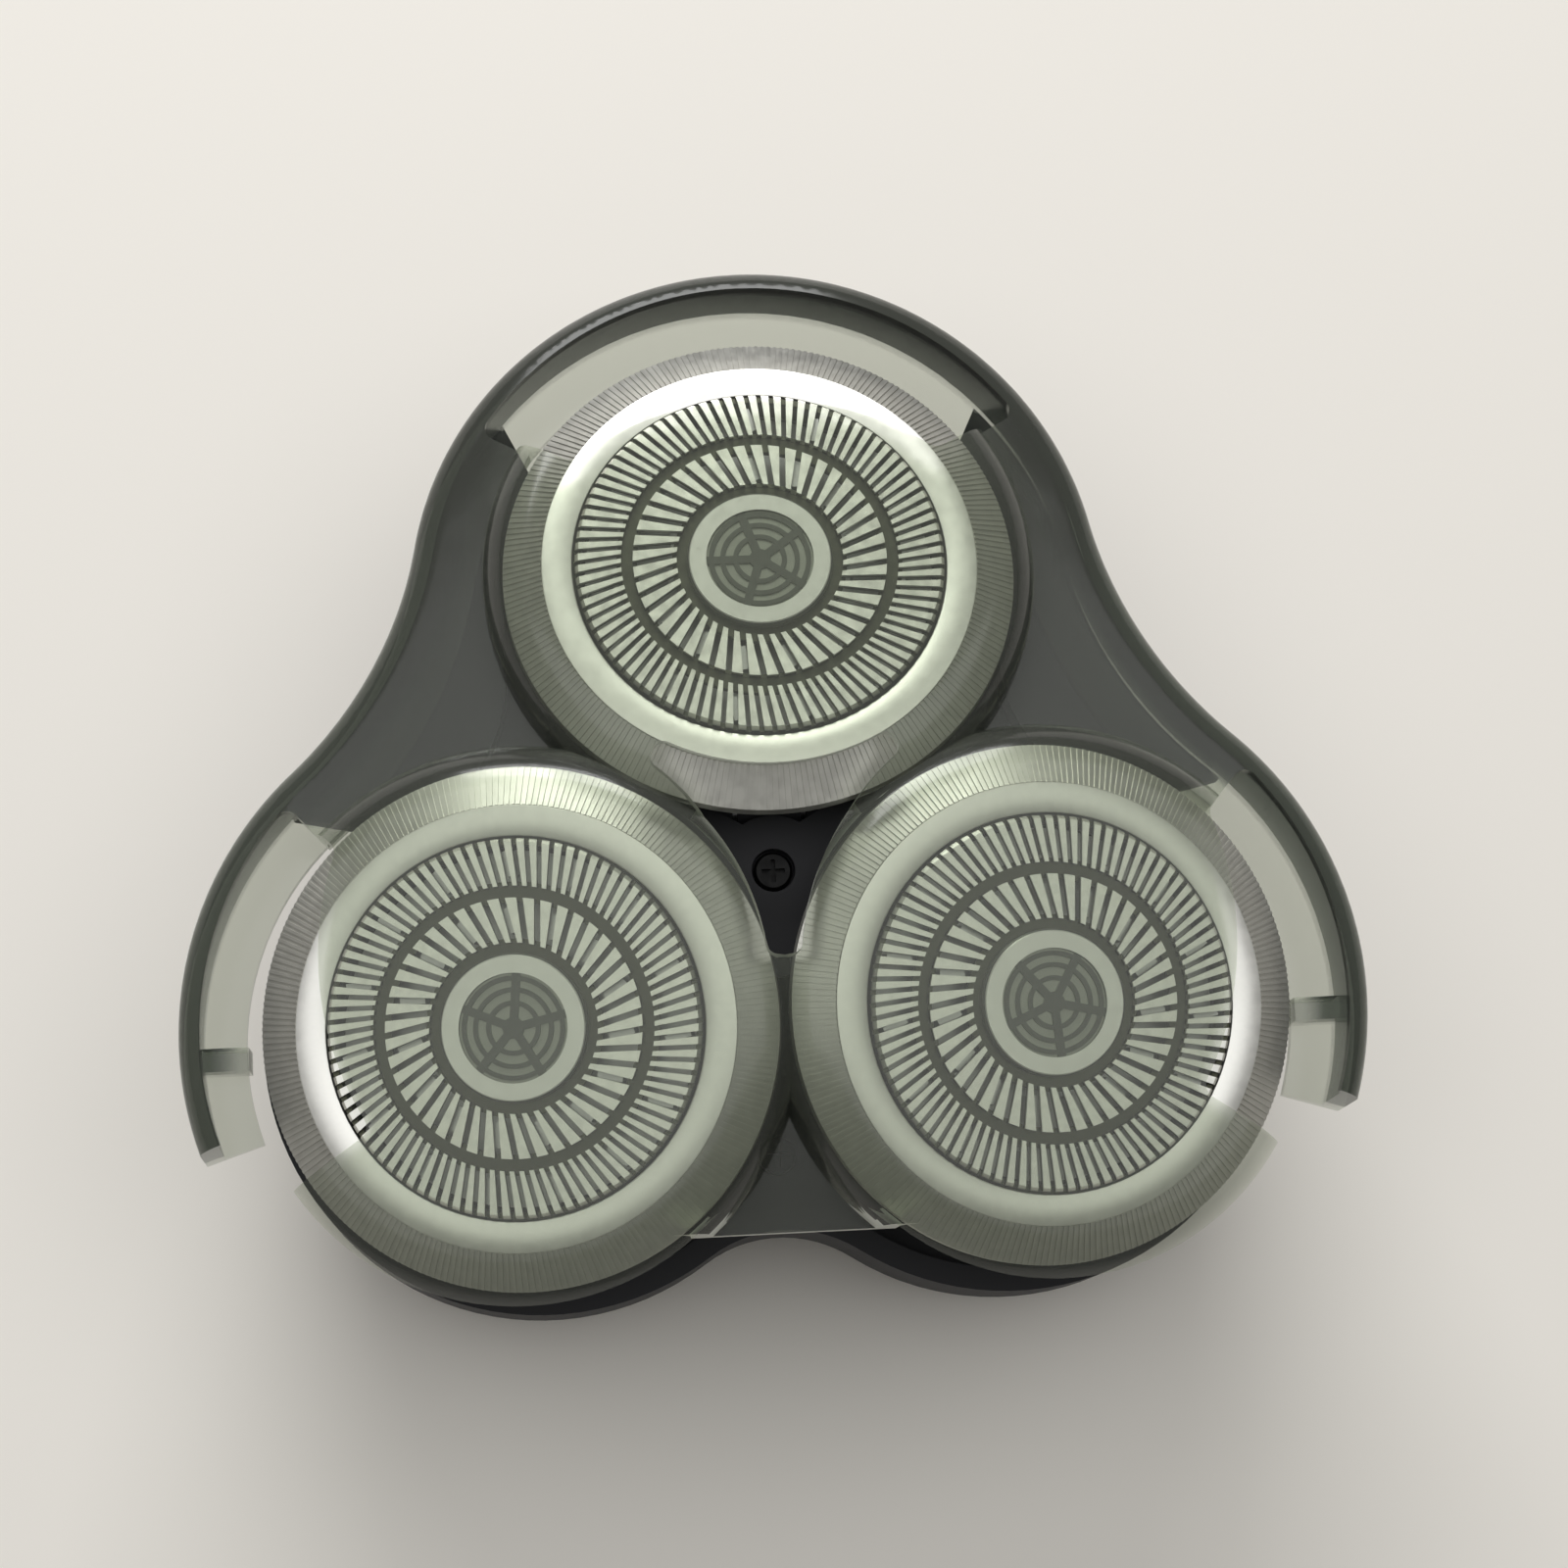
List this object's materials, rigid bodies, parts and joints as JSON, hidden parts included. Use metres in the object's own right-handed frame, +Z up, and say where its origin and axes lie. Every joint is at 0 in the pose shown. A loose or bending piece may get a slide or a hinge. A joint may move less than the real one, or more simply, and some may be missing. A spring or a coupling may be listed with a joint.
{
  "type": "rotary shaver head",
  "caption": "Rotary shaving head with slotted round guards over spinning cutters, each head hinged to a black geared base, under a clear push-on cap.",
  "frame": {"origin": "on the main axis, on the collar's lower face", "axes": "+Z up along the collar's axis, away from the shaver's handle; +Y from the main axis towards the head that lies farthest from the cap's open front; +X to the right when looking along +Y"},
  "size_m": [0.0714, 0.063, 0.0335],
  "materials": {
    "black_plastic": "fine matt moulded",
    "clear_plastic": "smoky clear polished",
    "bright_ring": "satin plated",
    "guard_steel": "ground",
    "badge_metal": "satin",
    "cutter_steel": "ground",
    "fixing_steel": "plain",
    "carrier_plastic": "moulded",
    "gear_plastic": "moulded"
  },
  "bodies": {
    "base": {"base_housing": "black_plastic", "base_cover": "black_plastic", "hub_plate": "black_plastic", "hub_screw": "fixing_steel", "cover_screws": "fixing_steel", "hinge_pin_rear": "fixing_steel", "hinge_pin_left": "fixing_steel", "hinge_pin_right": "fixing_steel"},
    "cap": {"cap": "clear_plastic"},
    "drive": {"drive_gear": "gear_plastic"},
    "gear_rear": {"head_gear_rear": "gear_plastic", "spindle_spring_rear": "fixing_steel"},
    "spindle_rear": {"spindle_rear": "gear_plastic"},
    "head_rear": {"hair_chamber_rear": "black_plastic", "bezel_rear": "bright_ring", "guard_rear": "guard_steel", "badge_rear": "badge_metal", "retainer_rear": "carrier_plastic"},
    "cutter_rear": {"cutter_rear": "cutter_steel", "cutter_carrier_rear": "carrier_plastic"},
    "gear_left": {"head_gear_left": "gear_plastic", "spindle_spring_left": "fixing_steel"},
    "spindle_left": {"spindle_left": "gear_plastic"},
    "head_left": {"hair_chamber_left": "black_plastic", "bezel_left": "bright_ring", "guard_left": "guard_steel", "badge_left": "badge_metal", "retainer_left": "carrier_plastic"},
    "cutter_left": {"cutter_left": "cutter_steel", "cutter_carrier_left": "carrier_plastic"},
    "gear_right": {"head_gear_right": "gear_plastic", "spindle_spring_right": "fixing_steel"},
    "spindle_right": {"spindle_right": "gear_plastic"},
    "head_right": {"hair_chamber_right": "black_plastic", "bezel_right": "bright_ring", "guard_right": "guard_steel", "badge_right": "badge_metal", "retainer_right": "carrier_plastic"},
    "cutter_right": {"cutter_right": "cutter_steel", "cutter_carrier_right": "carrier_plastic"}
  },
  "joints": [
    {"name": "cap_lift", "type": "slide", "parent": "base", "child": "cap", "axis": [0, 0, 1], "range_m": [0, 0.03]},
    {"name": "drive_spin", "type": "hinge", "parent": "base", "child": "drive", "pos_m": [0, 0, 0.0105], "axis": [0, 0, 1], "continuous": true},
    {"name": "gear_spin_rear", "type": "hinge", "parent": "base", "child": "gear_rear", "pos_m": [0, 0.0171, 0.0105], "axis": [0, 0, 1], "continuous": true},
    {"name": "spindle_slide_rear", "type": "slide", "parent": "gear_rear", "child": "spindle_rear", "axis": [0, 0, 1], "range_m": [-0.0015, 0], "deforming": ["spindle_spring_rear"]},
    {"name": "head_tilt_rear", "type": "hinge", "parent": "base", "child": "head_rear", "pos_m": [0, 0.0039, 0.0241], "axis": [-1, 0, 0], "range_deg": [0, 6], "stiffness_Nm_per_rad": 0.06, "springref_deg": -11.46},
    {"name": "cutter_spin_rear", "type": "hinge", "parent": "head_rear", "child": "cutter_rear", "pos_m": [0, 0.0182, 0.0295], "axis": [0, 0.1994, 0.9799], "continuous": true},
    {"name": "gear_spin_left", "type": "hinge", "parent": "base", "child": "gear_left", "pos_m": [-0.01481, -0.00855, 0.0105], "axis": [0, 0, 1], "continuous": true},
    {"name": "spindle_slide_left", "type": "slide", "parent": "gear_left", "child": "spindle_left", "axis": [0, 0, 1], "range_m": [-0.0015, 0], "deforming": ["spindle_spring_left"]},
    {"name": "head_tilt_left", "type": "hinge", "parent": "base", "child": "head_left", "pos_m": [-0.00338, -0.00195, 0.0241], "axis": [0.5, -0.866, 0], "range_deg": [0, 6], "stiffness_Nm_per_rad": 0.06, "springref_deg": -11.46},
    {"name": "cutter_spin_left", "type": "hinge", "parent": "head_left", "child": "cutter_left", "pos_m": [-0.01576, -0.0091, 0.0295], "axis": [-0.1727, -0.0997, 0.9799], "continuous": true},
    {"name": "gear_spin_right", "type": "hinge", "parent": "base", "child": "gear_right", "pos_m": [0.01481, -0.00855, 0.0105], "axis": [0, 0, 1], "continuous": true},
    {"name": "spindle_slide_right", "type": "slide", "parent": "gear_right", "child": "spindle_right", "axis": [0, 0, 1], "range_m": [-0.0015, 0], "deforming": ["spindle_spring_right"]},
    {"name": "head_tilt_right", "type": "hinge", "parent": "base", "child": "head_right", "pos_m": [0.00338, -0.00195, 0.0241], "axis": [0.5, 0.866, 0], "range_deg": [0, 6], "stiffness_Nm_per_rad": 0.06, "springref_deg": -11.46},
    {"name": "cutter_spin_right", "type": "hinge", "parent": "head_right", "child": "cutter_right", "pos_m": [0.01576, -0.0091, 0.0295], "axis": [0.1727, -0.0997, 0.9799], "continuous": true}
  ],
  "couplings": [
    {"joint": "gear_spin_rear", "follows": "drive_spin", "ratio": -0.78947},
    {"joint": "cutter_spin_rear", "follows": "drive_spin", "ratio": -0.78947},
    {"joint": "spindle_slide_rear", "follows": "head_tilt_rear", "m_per_rad": -0.0132},
    {"joint": "gear_spin_left", "follows": "drive_spin", "ratio": -0.78947},
    {"joint": "cutter_spin_left", "follows": "drive_spin", "ratio": -0.78947},
    {"joint": "spindle_slide_left", "follows": "head_tilt_left", "m_per_rad": -0.0132},
    {"joint": "gear_spin_right", "follows": "drive_spin", "ratio": -0.78947},
    {"joint": "cutter_spin_right", "follows": "drive_spin", "ratio": -0.78947},
    {"joint": "spindle_slide_right", "follows": "head_tilt_right", "m_per_rad": -0.0132}
  ]
}
